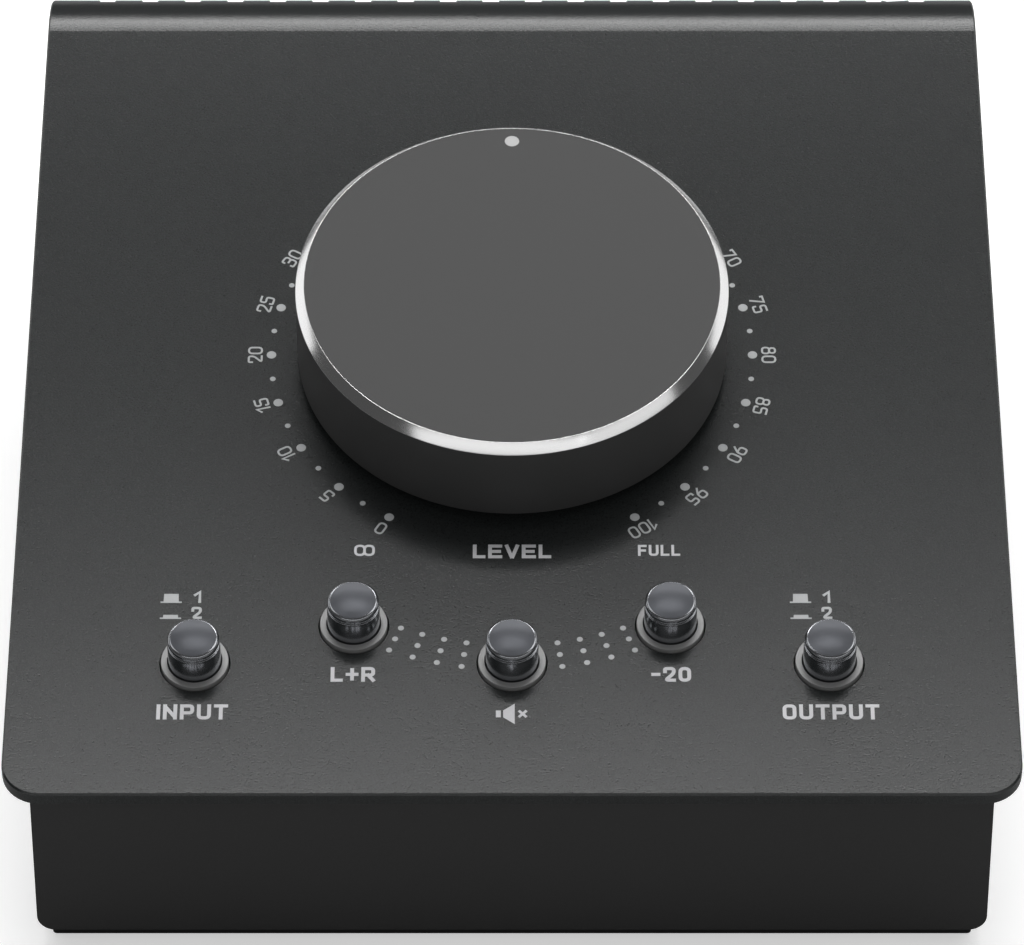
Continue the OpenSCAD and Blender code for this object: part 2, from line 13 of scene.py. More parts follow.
import bpy
import numpy as np
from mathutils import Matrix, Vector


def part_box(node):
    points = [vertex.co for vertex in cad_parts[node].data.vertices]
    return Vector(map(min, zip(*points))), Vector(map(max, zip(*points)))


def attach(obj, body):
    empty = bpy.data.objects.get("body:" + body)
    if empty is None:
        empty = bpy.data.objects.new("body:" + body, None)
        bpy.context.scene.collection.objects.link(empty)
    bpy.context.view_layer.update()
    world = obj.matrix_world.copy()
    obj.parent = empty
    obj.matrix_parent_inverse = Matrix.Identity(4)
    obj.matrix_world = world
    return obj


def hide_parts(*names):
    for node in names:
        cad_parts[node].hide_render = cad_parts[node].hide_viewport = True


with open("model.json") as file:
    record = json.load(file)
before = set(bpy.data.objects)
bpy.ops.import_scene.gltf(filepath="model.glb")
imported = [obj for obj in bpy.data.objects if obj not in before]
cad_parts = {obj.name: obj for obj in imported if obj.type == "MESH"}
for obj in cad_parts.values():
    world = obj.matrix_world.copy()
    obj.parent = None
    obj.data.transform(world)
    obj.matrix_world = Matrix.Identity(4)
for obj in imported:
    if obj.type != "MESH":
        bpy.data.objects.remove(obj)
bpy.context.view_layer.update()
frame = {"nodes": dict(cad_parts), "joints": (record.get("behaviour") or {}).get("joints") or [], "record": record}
nodes = frame["nodes"]
print("pieces from the packed model:", len(nodes))

# %% [markdown]
# ## The panel's own axes
#
# The dial, the buttons and all print lie on the sloped panel. It is far easier to place them in
# the panel's own directions: x to the right, u up the slope, n out of the metal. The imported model
# already knows that plane, because the knob turns about its normal, so the frame's joint gives
# both the dial's centre and the slope, and no angle is typed in twice.

# %% Axes of the sloped panel, from the knob's joint
MM = 0.001
turn_joint = next(j for j in frame["joints"] if j["name"] == "volume_turn")
DIAL = np.array(turn_joint["pos_m"])
OUT = -np.array(turn_joint["axis"])
RIGHT = np.array([1.0, 0.0, 0.0])
UP = np.cross(OUT, RIGHT)
PANEL = np.array([RIGHT, UP, OUT])


def on_panel(xun):
    """Points in millimetres along (x, u, n) become metres in the model's frame: the dial's
    centre plus each number times its own direction."""
    return DIAL + np.asarray(xun, float) * MM @ PANEL


def panel_place(node):
    """Where a node's box centre lies on the panel, as (x, u, n) in millimetres."""
    low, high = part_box(node)
    middle = (np.array(low) + np.array(high)) / 2
    return (middle - DIAL) @ PANEL.T / MM


slope_deg = math.degrees(math.atan2(UP[2], UP[1]))
print("panel slope %.2f degrees, dial %.1f mm over the table" % (slope_deg, DIAL[2] / MM))

# %% [markdown]
# ## From arrays to meshes
#
# Every new surface here is a grid of points worked out by numpy in one go. Faces follow from the
# grid's numbering, so they too come from whole arrays and not from a loop over corners.

# %% A mesh from points and faces
def make_object(name, points, faces, smooth_deg=None):
    """A new object at the origin whose mesh holds the points, in metres, and the faces. With
    smooth_deg, only edges that turn by more than that angle stay sharp."""
    mesh = bpy.data.meshes.new(name)
    mesh.from_pydata(np.asarray(points, float), [], [tuple(f) for f in faces])
    mesh.update()
    if smooth_deg is not None:
        mesh.shade_smooth()
        mesh.set_sharp_from_angle(angle=math.radians(smooth_deg))
    piece = bpy.data.objects.new(name, mesh)
    bpy.context.scene.collection.objects.link(piece)
    return piece


def grid_faces(rows, columns, wrap):
    """Quads between neighbouring rows of a grid; with wrap the last column joins the first."""
    row = np.arange(rows - 1)[:, None] * columns
    column = np.arange(columns if wrap else columns - 1)[None, :]
    after = (column + 1) % columns
    quads = np.stack([row + column, row + after, row + columns + after, row + columns + column], -1)
    return quads.reshape(-1, 4)


print("a grid of 3 rows and 4 columns has", len(grid_faces(3, 4, True)), "faces when it wraps")

# %% [markdown]
# ## A lathe
#
# Knob, caps and collars are turned parts: a section swept round an axis, which is how a lathe
# makes them. A section that starts and ends on the axis closes in a fan round one pole point at
# each end. A ring's section closes on itself instead. Either way the solid is watertight.

# %% Sections swept round the panel's normal
def spun(section, segments):
    """Each point (r, h) of a section runs round the axis: x = r cos a, u = r sin a, n = h. The
    result has one row of points for each point of the section."""
    angle = np.linspace(0, 2 * np.pi, segments, endpoint=False)
    radius, height = section[:, :1], section[:, 1:]
    return np.stack(np.broadcast_arrays(
        radius * np.cos(angle), radius * np.sin(angle), height), -1)


def pole_fans(low, high, last_ring, segments):
    """Triangles from the two pole points, numbered low and high, to the first and the last ring
    of a grid. last_ring is the number of the last ring's first point."""
    k = np.arange(segments)
    after = (k + 1) % segments
    return (np.stack([np.full(segments, low), after, k], -1).tolist()
            + np.stack([np.full(segments, high), last_ring + k, last_ring + after], -1).tolist())


def turned(name, profile, centre, segments=96, smooth_deg=30):
    """A turned solid standing on the panel at centre (x, u, n in mm). The profile is a list of
    (radius, height) from the bottom pole, outwards and up, to the top pole, so that the faces
    point out."""
    profile = np.array(profile, float)
    ring = spun(profile[1:-1], segments)
    poles = [[0, 0, profile[0, 1]], [0, 0, profile[-1, 1]]]
    points = np.concatenate([ring.reshape(-1, 3), poles]) + np.asarray(centre, float)
    faces = grid_faces(len(ring), segments, True).tolist()
    faces += pole_fans(len(points) - 2, len(points) - 1, (len(ring) - 1) * segments, segments)
    return make_object(name, on_panel(points), faces, smooth_deg)


def turned_ring(name, section, centre, segments=96, smooth_deg=30):
    """A turned ring: the closed section (radius, height) runs round the axis, and both grid
    directions join up, so there is no pole."""
    grid = spun(np.array(section, float), segments)
    faces = grid_faces(len(grid) + 1, segments, True) % (len(grid) * segments)
    points = grid.reshape(-1, 3) + np.asarray(centre, float)
    return make_object(name, on_panel(points), faces, smooth_deg)


def arc(centre, radius, start, stop, steps):
    """Points of a circular arc, start and stop in degrees."""
    a = np.radians(np.linspace(start, stop, steps))
    return np.stack([centre[0] + radius * np.cos(a), centre[1] + radius * np.sin(a)], -1).tolist()


print("a quarter arc of radius 1 ends at", [round(v, 3) for v in arc((0, 0), 1, 0, 90, 5)[-1]])

# %% [markdown]
# ## Node helper and colour
#
# Materials are built from nodes in code. One helper adds a node, sets its inputs and links it, so
# that each material below reads as a short list. Colours are written as the hex values that a
# paint chart would use, and one function turns them into the linear numbers that light needs.

# %% Colour conversion and the node helper
def linear(hex_colour):
    """sRGB hex to linear RGBA: below the knee a straight line, above it a power of 2.4."""
    srgb = np.array([int(hex_colour[i:i + 2], 16) for i in (1, 3, 5)]) / 255
    rgb = np.where(srgb <= 0.04045, srgb / 12.92, ((srgb + 0.055) / 1.055) ** 2.4)
    return (*rgb.tolist(), 1.0)


def add(tree, kind, settings=None, **inputs):
    """Adds one node. settings are its properties. Each input is a value or another node's
    output socket. Its name is the socket's, with _ for a space, or i0, i1 and so on for a
    socket that is picked by its number."""
    node = tree.nodes.new(kind)
    for key, value in (settings or {}).items():
        setattr(node, key, value)
    for key, value in inputs.items():
        number = key[1:] if key[0] == "i" and key[1:].isdigit() else None
        socket = node.inputs[int(number)] if number else node.inputs[key.replace("_", " ")]
        if isinstance(value, bpy.types.NodeSocket):
            tree.links.new(value, socket)
        else:
            socket.default_value = value
    return node


def new_material(name):
    """An empty material and its node tree, with the output node in place."""
    material = bpy.data.materials.new(name)
    material.use_nodes = True
    tree = material.node_tree
    tree.nodes.clear()
    return material, tree, tree.nodes.new("ShaderNodeOutputMaterial")


def finish_surface(tree, output, shader):
    """Links a finished shader to the material's output."""
    tree.links.new(shader.outputs[0], output.inputs["Surface"])


def object_coords(tree):
    """Places on the piece itself, in metres, which stay put when the piece moves."""
    return tree.nodes.new("ShaderNodeTexCoord").outputs["Object"]


def per_mm(size_mm):
    """A noise node's Scale counts features per metre here, because Object coordinates are in
    metres. So the scale for a feature of a given size is one over that size."""
    return 1 / (size_mm * MM)


LACQUER_IOR = 1.5
print("mid grey #777777 is", [round(v, 3) for v in linear("#777777")[:3]])

# %% [markdown]
# ## Powder coat
#
# The case is sheet steel with a baked polyester powder coat. The grains melt into a skin with a
# fine orange peel, so highlights break up into a soft grain instead of a clean line. Two sizes of
# noise do it: a slow swell of the film, and the grain. The real grain is finer than the picture
# can show, so it is drawn at about a fifth of a millimetre on the panel, just coarse enough to
# see. The tray's powder is much flatter, so it has no sheen and looks blacker.

# %% Powder coat of the panel and of the tray
FILM_DEPTH = 0.06 * MM
SWELL_MM = 2.2
SWELL_SHARE = 0.15


def powder_coat(name, colour, light, rough, grain_mm, bump):
    """Base colour mottled between two greys by the grain, roughness constant, bump from the
    grain plus a share of the wider swell."""
    material, tree, output = new_material(name)
    at = object_coords(tree)
    grain = add(tree, "ShaderNodeTexNoise", Vector=at, Scale=per_mm(grain_mm), Detail=2.0,
                Roughness=0.55)
    swell = add(tree, "ShaderNodeTexNoise", Vector=at, Scale=per_mm(SWELL_MM), Detail=1.0)
    mottle = add(tree, "ShaderNodeMix", {"data_type": "RGBA"}, Factor=grain.outputs["Fac"],
                 A=linear(colour), B=linear(light))
    relief = add(tree, "ShaderNodeMath", {"operation": "MULTIPLY_ADD"},
                 i0=swell.outputs["Fac"], i1=SWELL_SHARE, i2=grain.outputs["Fac"])
    bumped = add(tree, "ShaderNodeBump", Strength=bump, Distance=FILM_DEPTH,
                 Height=relief.outputs[0])
    shader = add(tree, "ShaderNodeBsdfPrincipled", Base_Color=mottle.outputs["Result"],
                 Roughness=rough, IOR=LACQUER_IOR, Normal=bumped.outputs[0])
    finish_surface(tree, output, shader)
    return material


panel_paint = powder_coat("powder_coat_dark_grey", "#0e0f0f", "#333636", 0.2, 0.22, 0.34)
tray_paint = powder_coat("powder_coat_black", "#2f2f2f", "#353535", 0.8, 0.3, 0.2)
print("powder coats:", panel_paint.name, tray_paint.name)

# %% [markdown]
# ## Turned and anodised aluminium
#
# The knob is turned from bar and black anodised. Its skirt keeps fine tool rings under the dye,
# and the dyed oxide looks more like satin plastic than like metal. The bevel is cut again after
# anodising with a diamond tool, so it is bare, mirror-like metal. The face is a lighter satin
# grey, and the collars are plain satin aluminium.

# %% Metals of the knob and the collars
TOOL_MARK = 0.02 * MM


def turned_metal(name, colour, metallic, rough, ring_mm, bump):
    """Metal with tool rings: noise read on the height along the knob's axis and on the
    distance from it, after a Mapping node has turned the panel's axes upright."""
    material, tree, output = new_material(name)
    at = object_coords(tree)
    upright = add(tree, "ShaderNodeMapping", {"vector_type": "TEXTURE"}, Vector=at,
                  Location=DIAL.tolist(), Rotation=(math.radians(slope_deg), 0, 0))
    parts = add(tree, "ShaderNodeSeparateXYZ", Vector=upright.outputs[0])
    flat = add(tree, "ShaderNodeCombineXYZ", X=parts.outputs["X"], Y=parts.outputs["Y"])
    reach = add(tree, "ShaderNodeVectorMath", {"operation": "LENGTH"}, i0=flat.outputs[0])
    rings = add(tree, "ShaderNodeCombineXYZ", X=reach.outputs["Value"], Z=parts.outputs["Z"])
    groove = add(tree, "ShaderNodeTexNoise", Vector=rings.outputs[0], Scale=per_mm(ring_mm),
                 Detail=1.0)
    bumped = add(tree, "ShaderNodeBump", Strength=bump, Distance=TOOL_MARK,
                 Height=groove.outputs["Fac"])
    shader = add(tree, "ShaderNodeBsdfPrincipled", Base_Color=linear(colour), Metallic=metallic,
                 Roughness=rough, Normal=bumped.outputs[0])
    finish_surface(tree, output, shader)
    return material


knob_skirt = turned_metal("anodised_aluminium_black", "#4a4a4a", 0.2, 0.5, 0.12, 0.2)
knob_face = turned_metal("anodised_aluminium_grey", "#343434", 0.0, 0.6, 0.12, 0.1)
knob_bevel = turned_metal("diamond_cut_aluminium", "#f2f2f2", 1.0, 0.16, 0.08, 0.12)
collar_metal = turned_metal("satin_aluminium", "#8c8c8c", 0.2, 0.4, 0.1, 0.1)
print("turned metals:", knob_skirt.name, knob_face.name, knob_bevel.name, collar_metal.name)

# %% [markdown]
# ## Plated metals
#
# Nuts, washers, pillars, the shaft and the board's screws are nickel plated, bright with a touch
# of yellow. The pot's can is tin plated and duller. The case's screws and the knob's grub screw
# are black oxide, nearly black with an oily sheen. The caps are dark chrome, polished on rim and
# skirt. Their crown is satin, and its colour is painted shade: much darker than the chrome, for
# the dark reflection on the top of each cap. Parts plated in a barrel come out a little cloudy,
# so a slow noise moves the roughness up and down.

# %% Metals of the small parts and the caps
CLOUD_MM = 1.5


def plain_metal(name, colour, rough, spread, metallic=1.0):
    """Plated metal whose roughness wanders by a spread to each side of its mean."""
    material, tree, output = new_material(name)
    cloud = add(tree, "ShaderNodeTexNoise", Vector=object_coords(tree), Scale=per_mm(CLOUD_MM),
                Detail=3.0)
    rough_map = add(tree, "ShaderNodeMapRange", Value=cloud.outputs["Fac"], To_Min=rough - spread,
                    To_Max=rough + spread)
    shader = add(tree, "ShaderNodeBsdfPrincipled", Base_Color=linear(colour),
                 Metallic=metallic, Roughness=rough_map.outputs[0])
    finish_surface(tree, output, shader)
    return material


nickel = plain_metal("nickel_plated_steel", "#c9c6bd", 0.28, 0.08)
tin = plain_metal("tin_plated_steel", "#b3b3ae", 0.4, 0.1)
black_oxide = plain_metal("black_oxide_steel", "#3a3a3c", 0.38, 0.1)
dark_chrome = plain_metal("dark_chrome_polished", "#b0b2b6", 0.21, 0.02)
# the crown: satin roughness, and a colour that is painted shade, darker than the polished chrome
satin_crown_painted_shade = plain_metal("dark_chrome_satin_painted_shade", "#3f4146", 0.37, 0.03, 0.5)
print("plated metals:", nickel.name, tin.name, black_oxide.name, dark_chrome.name)

# %% [markdown]
# ## Plastics, rubber, boards and ink
#
# The hidden and rear pieces still deserve a true finish. Moulded plastic has a faint spark-eroded
# grain that softens its shine, rubber is dull, a circuit board is glossy green lacquer over a
# glass weave, and PVC ribbon has a waxy look. Screen ink dries to an even, half-matt film, and
# the pointer is a drop of lacquer, a little glossier.

# %% Dielectric materials
SPARK_DEPTH = 0.03 * MM


def moulded(name, colour, light, rough, grain_mm, bump, coat=0.0):
    """A non-metal with a fine grain in colour and relief."""
    material, tree, output = new_material(name)
    grain = add(tree, "ShaderNodeTexNoise", Vector=object_coords(tree), Scale=per_mm(grain_mm),
                Detail=2.0)
    tint = add(tree, "ShaderNodeMix", {"data_type": "RGBA"}, Factor=grain.outputs["Fac"],
               A=linear(colour), B=linear(light))
    bumped = add(tree, "ShaderNodeBump", Strength=bump, Distance=SPARK_DEPTH,
                 Height=grain.outputs["Fac"])
    shader = add(tree, "ShaderNodeBsdfPrincipled", Base_Color=tint.outputs["Result"],
                 Roughness=rough, IOR=LACQUER_IOR, Coat_Weight=coat, Normal=bumped.outputs[0])
    finish_surface(tree, output, shader)
    return material


rubber = moulded("neoprene_pad", "#161616", "#1d1d1d", 0.8, 0.25, 0.4)
black_nylon = moulded("moulded_nylon_black", "#161617", "#1e1e1f", 0.45, 0.2, 0.2)
ivory_pbt = moulded("moulded_pbt_ivory", "#dcd8cc", "#e4e0d6", 0.45, 0.2, 0.15)
board_lacquer = moulded("solder_mask_green", "#0f3d22", "#15482a", 0.25, 0.6, 0.15, 0.5)
grey_pvc = moulded("ribbon_pvc_grey", "#8d8f92", "#979a9d", 0.5, 0.5, 0.2)
word_ink = moulded("screen_ink_light_grey", "#c9c9cc", "#d0d0d3", 0.5, 0.15, 0.2)
scale_ink = moulded("screen_ink_mid_grey", "#a9abac", "#b1b3b4", 0.5, 0.15, 0.2)
pointer_lacquer = moulded("pointer_lacquer", "#bcbcbc", "#c2c2c2", 0.35, 0.3, 0.1)
print("plastics and inks:", black_nylon.name, grey_pvc.name, word_ink.name, scale_ink.name)

# %% [markdown]
# ## Which finish goes on which piece
#
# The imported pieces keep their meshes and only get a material. A table from the record's slot
# names to materials dresses them all, so no piece can be forgotten.

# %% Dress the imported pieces
finish_of_slot = {
    "panel_paint": panel_paint, "tray_paint": tray_paint, "pad_rubber": rubber,
    "knob_metal": knob_skirt, "pointer_paint": pointer_lacquer, "cap_chrome": dark_chrome,
    "collar_metal": collar_metal, "nickel": nickel, "black_steel": black_oxide,
    "pot_metal": tin, "black_plastic": black_nylon, "switch_plastic": ivory_pbt,
    "board": board_lacquer, "ribbon_jacket": grey_pvc,
}
slot_of_node = {part["node"]: part["material_slot"] for part in frame["record"]["subparts"]}
for name, node in nodes.items():
    node.data.materials.clear()
    node.data.materials.append(finish_of_slot[slot_of_node[name]])
print("dressed", len(nodes), "pieces")

# %% [markdown]
# ## More than one finish on a piece
#
# The knob is one solid with three finishes, and a cap has two: polished chrome, and a satin crown
# whose darker colour is painted shade. A real part gets its finishes where the tool or the mask
# went, so faces are told apart by where their centres lie on the panel.

# %% Paint the faces of one piece by place
def paint_by(piece, materials, chooser):
    """Gives each face one of the materials: chooser turns the face centres, in panel
    millimetres, into material numbers, for all faces at once."""
    for material in materials:
        piece.data.materials.append(material)
    centres = np.empty(len(piece.data.polygons) * 3)
    piece.data.polygons.foreach_get("center", centres)
    local = (centres.reshape(-1, 3) - DIAL) @ PANEL.T / MM
    piece.data.polygons.foreach_set("material_index", chooser(local).astype(np.int32))


print("paint_by is ready for knob and caps")

# %% [markdown]
# ## The volume knob's section
#
# On the real object this is one turned piece: a hollow skirt, a hub inside, a flat face and the
# diamond-cut bevel between face and skirt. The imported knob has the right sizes, but its facets
# would show in the mirror-like bevel. So the outside is turned again here with fine steps, and the
# edge between face and bevel is rolled over a tenth of a millimetre, which draws the bright line
# at the far rim. Where a hole will go, seven points lie close together in a row, so that the
# grid has a small window round it.

# %% Sizes of the knob, in mm, and its section
KNOB_R = 29.15
KNOB_TOP = 15.1
KNOB_LIFT = 1.5
BEVEL = 1.2
SKIRT_WALL = 2.8
INNER_R = KNOB_R - SKIRT_WALL
INNER_CHAMFER = 1
HUB_TOP = 11.2
HUB_R = 8.5
HUB_LOW = 5.9
HUB_CHAMFER = 0.5
SHAFT_R = 3.05
FOOT_ROUND = 0.35
SHOULDER_ROUND = 0.12
SHOULDER_DROP = 0.05
LIP_ROUND = 0.1
LIP_INSET = 0.04
# the grub screw's hole: its height on the panel and its radius
SCREW_N = 8.1
SCREW_R = 1.5
# the pointer's seat: its distance from the dial's centre and its radius
POINTER_U = 25.6
POINTER_R = 1.0
# half the height of the window round each hole
HUB_WINDOW = 1.65
INNER_WINDOW = 2.05
OUTER_WINDOW = 2.4
FACE_WINDOW = 1.8
WINDOW_ROWS = 7


def steps(start, stop, radius, upright):
    """The rows of a window: points from start to stop up a wall of one radius, or with upright
    false from radius start to radius stop at one height."""
    along = np.linspace(start, stop, WINDOW_ROWS)
    fixed = np.full(WINDOW_ROWS, float(radius))
    return np.stack([fixed, along] if upright else [along, fixed], 1).tolist()


def knob_profile():
    """From the bore's blind end, down the hub, up the hollow, down the skirt's inside, out
    round its foot, up the skirt, over the bevel and in to the middle of the face. Also returns
    the row numbers where the four walls and the face that get holes begin."""
    foot = arc((KNOB_R - FOOT_ROUND, KNOB_LIFT + FOOT_ROUND), FOOT_ROUND, -90, 0, 7)
    shoulder = arc((KNOB_R - SHOULDER_ROUND, KNOB_TOP - BEVEL - SHOULDER_DROP), SHOULDER_ROUND,
                   0, 45, 5)
    lip = arc((KNOB_R - BEVEL - LIP_INSET, KNOB_TOP - LIP_ROUND), LIP_ROUND, 45, 90, 8)
    parts = [
        [[0, HUB_TOP], [SHAFT_R, HUB_TOP]],
        steps(SCREW_N + HUB_WINDOW, SCREW_N - HUB_WINDOW, SHAFT_R, True),
        [[SHAFT_R, HUB_LOW], [HUB_R - HUB_CHAMFER, HUB_LOW], [HUB_R, HUB_LOW + HUB_CHAMFER]],
        steps(SCREW_N - HUB_WINDOW, SCREW_N + HUB_WINDOW, HUB_R, True),
        [[HUB_R, HUB_TOP], [INNER_R - INNER_CHAMFER, HUB_TOP],
         [INNER_R, HUB_TOP - INNER_CHAMFER]],
        steps(SCREW_N + INNER_WINDOW, SCREW_N - INNER_WINDOW, INNER_R, True),
        [[INNER_R, KNOB_LIFT]] + foot,
        steps(SCREW_N - OUTER_WINDOW, SCREW_N + OUTER_WINDOW, KNOB_R, True),
        shoulder + lip,
        steps(POINTER_U + FACE_WINDOW, POINTER_U - FACE_WINDOW, KNOB_TOP, False),
        [[KNOB_R * 0.5, KNOB_TOP], [0, KNOB_TOP]],
    ]
    # the pole point isn't a row of the grid, so a row's number is one less than its place
    first = np.cumsum([0] + [len(part) for part in parts[:-1]]) - 1
    return sum(parts, []), [int(first[k]) for k in (1, 3, 5, 7, 9)]


knob_section, window_rows = knob_profile()
print("knob section:", len(knob_section), "points, windows start at rows", window_rows)

# %% [markdown]
# ## Windows for the holes
#
# Two holes break the turned skin: the shallow seat of the pointer in the face, and the
# radial hole for the grub screw at the rear. A boolean cut would leave ragged triangles that
# show in a satin skin. So the grid leaves out a small window of cells, and a ring of quads leads
# from the window's square outline to the hole's round rim. Both have the same number of points.

# %% The window's outline and the matching angles on a rim
SEGMENTS = 256
REAR = SEGMENTS // 4


def window(row, reach):
    """The cells of a window of the grid and its outline: WINDOW_ROWS rows from row on and
    reach columns to each side of the rear, walked round once from its first corner."""
    rows = np.arange(row, row + WINDOW_ROWS)
    columns = np.arange(REAR - reach, REAR + reach + 1)
    walk = [(rows[0], c) for c in columns[:-1]] + [(r, columns[-1]) for r in rows[:-1]]
    walk += [(rows[-1], c) for c in columns[:0:-1]] + [(r, columns[0]) for r in rows[:0:-1]]
    cells = (rows[:-1, None] * SEGMENTS + columns[None, :-1]).ravel()
    return set(cells.tolist()), np.array([r * SEGMENTS + c for r, c in walk])


def rim_angles(reach):
    """Evenly spaced angles round a hole, from the corner that the window's walk starts at."""
    count = 4 * reach + 2 * (WINDOW_ROWS - 1)
    return np.radians(-90 - 360 * reach / count + 360 * np.arange(count) / count)


print("a window of reach 4 has an outline of", len(rim_angles(4)), "points")

# %% [markdown]
# ## Turning and drilling
#
# The section is swept round the axis, the windows are left out and the rims put in. The screw's
# hole passes two walls, the hub and the skirt, and each pair of rims is joined by a tube, as a
# drill leaves it. The pointer's seat is a blind hole with a flat floor.

# %% Turn and drill the knob
DRILL_PLAY = 0.2
SEAT_DEPTH = 0.6
HUB_REACH = 22
SKIN_REACH = 4


def in_wall(radius, hole):
    """The rim of a hole in a round wall, for angles t: x = -hole cos t, n = centre + hole sin t,
    and u such that x and u lie on the wall's radius."""
    return lambda t: np.stack([-hole * np.cos(t),
                               np.sqrt(radius ** 2 - (hole * np.cos(t)) ** 2),
                               SCREW_N + hole * np.sin(t)], 1)


def in_face(t):
    """The rim of the pointer's seat, for angles t: a circle in the flat face."""
    return np.stack([-POINTER_R * np.cos(t), POINTER_U - POINTER_R * np.sin(t),
                     np.full(len(t), KNOB_TOP)], 1)


def band(first, second):
    """Quads between two closed loops of point numbers."""
    return np.stack([first, np.roll(first, -1), np.roll(second, -1), second], 1).tolist()


def drilled(profile, rows):
    """The lathe's grid with cells left out round each hole, and each gap filled by a ring of
    quads from the window's outline to the hole's rim. Returns all points and faces."""
    solid = np.array(profile, float)[1:-1]
    count = len(solid)
    poles = np.array([[0, 0, profile[0][1]], [0, 0, profile[-1][1]]])
    points = [spun(solid, SEGMENTS).reshape(-1, 3), poles]
    total = len(points[0]) + len(poles)
    gone, faces = set(), []

    def rim(row, reach, place, way):
        """Opens one window and sets a hole's rim into it. Returns the rim's point numbers."""
        nonlocal total
        cells, outline = window(row, reach)
        gone.update(cells)
        t = rim_angles(reach) * way
        ring = np.arange(total, total + len(t))
        points.append(place(t))
        total += len(t)
        faces.extend(band(outline, ring))
        return ring

    bore, hub, inner, outer, face = rows
    for far, near, reach, radii, hole in (
            (bore, hub, HUB_REACH, (SHAFT_R, HUB_R), SCREW_R),
            (inner, outer, SKIN_REACH, (INNER_R, KNOB_R), SCREW_R + DRILL_PLAY)):
        a = rim(near, reach, in_wall(radii[1], hole), 1)
        b = rim(far, reach, in_wall(radii[0], hole), -1)
        # the far rim is walked the other way, so its points are matched up first
        match = b[(-np.arange(len(a)) + len(a) // 2 + 2 * reach) % len(a)]
        faces.extend(band(a, match))
    mouth = rim(face, SKIN_REACH, in_face, 1)
    seat = np.arange(total, total + len(mouth))
    points.append(points[-1] - (0, 0, SEAT_DEPTH))
    faces.extend(band(mouth, seat))
    faces.append(seat.tolist())
    faces += [quad for quad in grid_faces(count, SEGMENTS, True).tolist() if quad[0] not in gone]
    low = count * SEGMENTS
    faces += pole_fans(low, low + 1, (count - 1) * SEGMENTS, SEGMENTS)
    return np.concatenate(points), faces


knob_points, knob_faces = drilled(knob_section, window_rows)
knob = make_object("turned_knob", on_panel(knob_points), knob_faces, smooth_deg=20)
print("knob faces:", len(knob.data.polygons))

# %% [markdown]
# ## The knob's three finishes
#
# The dye covers all of it, the face was masked for its grey, and the diamond tool bared the
# bevel with both of its rounded edges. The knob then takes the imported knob's place, and turns
# with its joint.

# %% Paint and place the knob
FACE_PLAY = 0.02
BEVEL_DOWN = BEVEL + 0.1
BEVEL_IN = BEVEL + 0.2


def knob_zones(local):
    """0 for the skirt and all that is hidden, 1 for the face, 2 for the bevel."""
    reach = np.hypot(local[:, 0], local[:, 1])
    face = (local[:, 2] > KNOB_TOP - FACE_PLAY) & (reach < KNOB_R - BEVEL - LIP_INSET)
    bevel = (local[:, 2] > KNOB_TOP - BEVEL_DOWN) & (reach > KNOB_R - BEVEL_IN) & ~face
    return np.where(face, 1, np.where(bevel, 2, 0))


paint_by(knob, [knob_skirt, knob_face, knob_bevel], knob_zones)
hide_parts("volume_knob")
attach(knob, "knob")
print("knob finishes:", [material.name for material in knob.data.materials])

# %% [markdown]
# ## The push buttons' sections
#
# Each cap is a small moulded piece plated in dark chrome: a shallow satin crown, whose darker
# colour is painted shade, a polished rim with two fine grooves, and a polished straight skirt that
# dives into a satin collar. Polish shows every facet of a imported mesh, so caps and collars are
# turned again at the imported pieces' own places, with arcs that run smoothly into each other.

# %% Sections of cap and collar, in mm
CAP_R = 3.39
SKIRT_R = 3.45
CAP_TOP = 5.9
CAP_LOW = -0.2
CROWN = 0.4
RIM = 0.55
GROOVE_R = 0.1
GROOVES_DOWN = (0.6, 0.24)
SOCKET_R = 2.5
SOCKET_TOP = 1.6
FOOT_CHAMFER = 0.2
TAPER_DOWN = (1.3, 1.0)
COLLAR_R = 4.45
COLLAR_BORE = 3.6
COLLAR_TOP = 0.6
COLLAR_LOW = -3.0
COLLAR_OUTER_ROUND = 0.12
COLLAR_INNER_ROUND = 0.06


def cap_profile():
    """Up the socket, out along the foot, up the skirt, past two grooves, round the rim and over
    the crown, which is an arc of a wide circle that meets the rim's arc at its height."""
    reach = CAP_R - RIM
    wide = (reach ** 2 + CROWN ** 2) / (2 * CROWN)
    half = math.degrees(math.asin(reach / wide))
    edge = CAP_TOP - CROWN - RIM
    crown = arc((0, CAP_TOP - wide), wide, 90 - half, 90, 14)
    rim = arc((reach, edge), RIM, 0, 90 - half, 14)
    grooves = sum((arc((CAP_R, edge - down), GROOVE_R, 270, 90, 7) for down in GROOVES_DOWN), [])
    foot = [[0, SOCKET_TOP], [SOCKET_R, SOCKET_TOP], [SOCKET_R, CAP_LOW],
            [SKIRT_R - FOOT_CHAMFER, CAP_LOW], [SKIRT_R, CAP_LOW + FOOT_CHAMFER],
            [SKIRT_R, edge - TAPER_DOWN[0]], [CAP_R, edge - TAPER_DOWN[1]]]
    return foot + grooves + rim + crown[1:-1] + [[0, CAP_TOP]]


def collar_profile():
    """A ring cannot end on the axis, so the section goes round once and closes on itself."""
    outer = arc((COLLAR_R - COLLAR_OUTER_ROUND, COLLAR_TOP - COLLAR_OUTER_ROUND),
                COLLAR_OUTER_ROUND, 0, 90, 7)
    inner = arc((COLLAR_BORE + COLLAR_INNER_ROUND, COLLAR_TOP - COLLAR_INNER_ROUND),
                COLLAR_INNER_ROUND, 90, 180, 4)
    return [[COLLAR_BORE, COLLAR_LOW], [COLLAR_R, COLLAR_LOW]] + outer + inner


print("cap section:", len(cap_profile()), "points, collar section:", len(collar_profile()))

# %% [markdown]
# ## Five buttons
#
# All five are alike, so one loop turns them. The place comes from each packed plunger, which
# stands exactly on its button's axis. A cap moves with its own button, a collar stays with the
# case.

# %% Turn the caps and collars
BUTTONS = ["input", "mono", "mute", "dim", "output"]
CROWN_PLAY = 0.02


